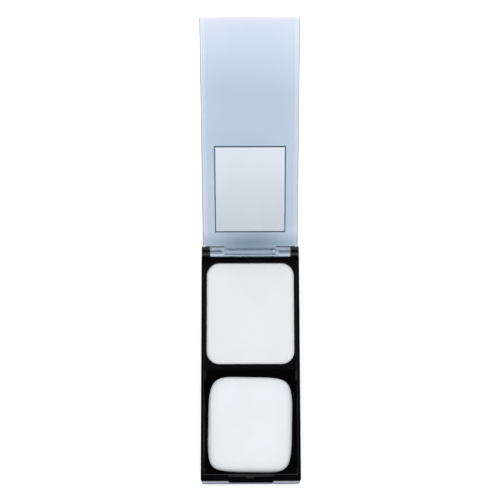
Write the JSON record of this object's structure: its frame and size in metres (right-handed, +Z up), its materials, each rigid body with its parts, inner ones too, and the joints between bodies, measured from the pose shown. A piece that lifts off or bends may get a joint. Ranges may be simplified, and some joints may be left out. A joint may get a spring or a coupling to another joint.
{
  "type": "hinged compact palette",
  "caption": "Slim pocket palette with a clear hinged lid and mirror over a black base that holds a pan of pressed colour and a well with a foam sponge.",
  "frame": {"origin": "middle of the flat underside of the base, on its lower face", "axes": "+X to the right across the width, +Y towards the hinge and the open lid, +Z up out of the base"},
  "size_m": [0.0502, 0.2254, 0.0644],
  "materials": {
    "black_plastic": "moulded gloss",
    "black_frame": "moulded satin gloss",
    "clear_shell": "clear tinted plastic",
    "pan_metal": "bright pressed sheet",
    "adhesive": "soft matt",
    "cake": "matt pressed powder",
    "foam": "fine open foam",
    "pin_steel": "drawn wire",
    "clear_lid": "clear tinted plastic",
    "mirror_backing": "dark foam tape",
    "mirror": "polished"
  },
  "bodies": {
    "base": {"base_tray": "black_plastic", "pan_frame": "black_frame", "bottom_shell": "clear_shell", "pan": "pan_metal", "pan_adhesive": "adhesive", "pressed_cake": "cake", "sponge": "foam", "hinge_pins": "pin_steel"},
    "lid": {"lid": "clear_lid", "mirror_pad": "mirror_backing", "mirror_glass": "mirror"}
  },
  "joints": [
    {"name": "lid_hinge", "type": "hinge", "parent": "base", "child": "lid", "pos_m": [0, 0.05733, 0.0113], "axis": [-1, 0, 0], "range_deg": [-155.4, 0]}
  ]
}
